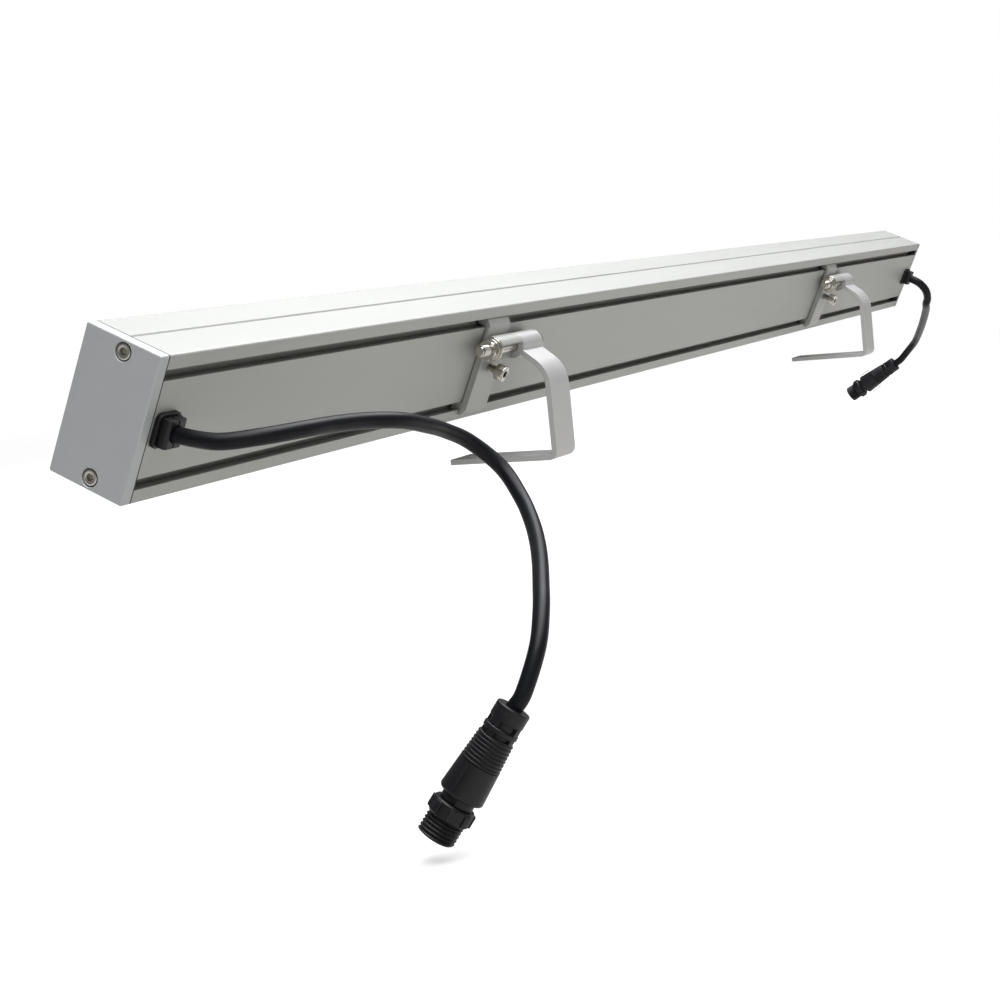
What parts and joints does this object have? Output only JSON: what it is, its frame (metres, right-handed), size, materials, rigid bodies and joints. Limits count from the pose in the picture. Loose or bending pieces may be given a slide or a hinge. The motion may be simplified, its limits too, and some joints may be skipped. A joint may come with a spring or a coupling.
{
  "type": "outdoor wall washer light",
  "caption": "Long slim outdoor wall washer light in a grey extruded body, on tilting clamp brackets that slide in its back slots, with a black plug lead from each end.",
  "frame": {"origin": "Midway between the two foot screw holes, on the plane of the feet that lies on the wall", "axes": "X runs along the light towards its far end, Y points from the bracket legs to the foot tips and the light's front, Z is the wall's normal, away from the wall"},
  "size_m": [1.1738, 0.2129, 0.1764],
  "materials": {
    "body_aluminium": "satin anodised extrusion, fine lines along the length",
    "cap_coat": "sand-textured silver grey powder coat",
    "clamp_aluminium": "satin silver coat",
    "stainless": "bright stainless steel",
    "black_plastic": "fine matte moulding",
    "cord_black": "satin black sheath",
    "seal_rubber": "matte rubber",
    "silicone": "translucent grey silicone",
    "clear_glass": "clear toughened glass",
    "lens_plastic": "clear moulded lens",
    "board_white": "white solder mask",
    "emitter": "yellow phosphor",
    "terminal_plastic": "white moulding",
    "wire_red": "smooth wire insulation",
    "contact_brass": "bright contacts"
  },
  "bodies": {
    "near_bracket": {"near_bracket": "clamp_aluminium"},
    "near_clamp": {"near_clamp": "clamp_aluminium", "near_clamp_screw": "stainless", "near_pivot_bolt": "stainless", "near_pivot_washers": "stainless", "near_pivot_nut": "stainless"},
    "light": {"housing": "body_aluminium", "near_end_cap": "cap_coat", "far_end_cap": "cap_coat", "near_cap_gasket": "seal_rubber", "far_cap_gasket": "seal_rubber", "near_cap_screws": "stainless", "far_cap_screws": "stainless", "front_glass": "clear_glass", "glass_seal": "silicone", "led_board": "board_white", "led_chips": "emitter", "lenses": "lens_plastic", "board_screws": "stainless", "near_terminal": "terminal_plastic", "far_terminal": "terminal_plastic", "bus_wires": "wire_red", "near_gland_flange": "black_plastic", "far_gland_flange": "black_plastic", "near_gland_halves": "black_plastic", "far_gland_halves": "black_plastic", "near_cord": "cord_black", "far_cord": "cord_black", "near_plug_body": "black_plastic", "near_plug_pins": "contact_brass", "near_plug_seal": "seal_rubber", "far_plug_body": "black_plastic", "far_plug_pins": "contact_brass", "far_plug_seal": "seal_rubber"},
    "far_clamp": {"far_clamp": "clamp_aluminium", "far_clamp_screw": "stainless", "far_pivot_bolt": "stainless", "far_pivot_washers": "stainless", "far_pivot_nut": "stainless"},
    "far_bracket": {"far_bracket": "clamp_aluminium"},
    "near_ring": {"near_plug_ring": "black_plastic"},
    "far_ring": {"far_plug_ring": "black_plastic"}
  },
  "joints": [
    {"name": "near_tilt", "type": "hinge", "parent": "near_bracket", "child": "near_clamp", "pos_m": [-0.256, -0.0304, 0.0507], "axis": [1, 0, 0], "range_deg": [-50, 90]},
    {"name": "near_slide", "type": "slide", "parent": "near_clamp", "child": "light", "axis": [1, 0, 0], "range_m": [-0.2, 0.02]},
    {"name": "far_slide", "type": "slide", "parent": "light", "child": "far_clamp", "axis": [1, 0, 0], "range_m": [-0.2, 0.15]},
    {"name": "far_tilt", "type": "hinge", "parent": "far_clamp", "child": "far_bracket", "pos_m": [0.256, -0.0304, 0.0507], "axis": [1, 0, 0], "range_deg": [-90, 50]},
    {"name": "near_ring_spin", "type": "hinge", "parent": "light", "child": "near_ring", "pos_m": [-0.49599, -0.1005, -0.08636], "axis": [-0.2784, 0.5317, -0.7999], "continuous": true},
    {"name": "far_ring_spin", "type": "hinge", "parent": "light", "child": "far_ring", "pos_m": [0.6435, 0.07288, -0.05679], "axis": [0.019, 0.8596, -0.5107], "continuous": true}
  ],
  "couplings": [
    {"joint": "far_tilt", "follows": "near_tilt", "ratio": -1}
  ]
}
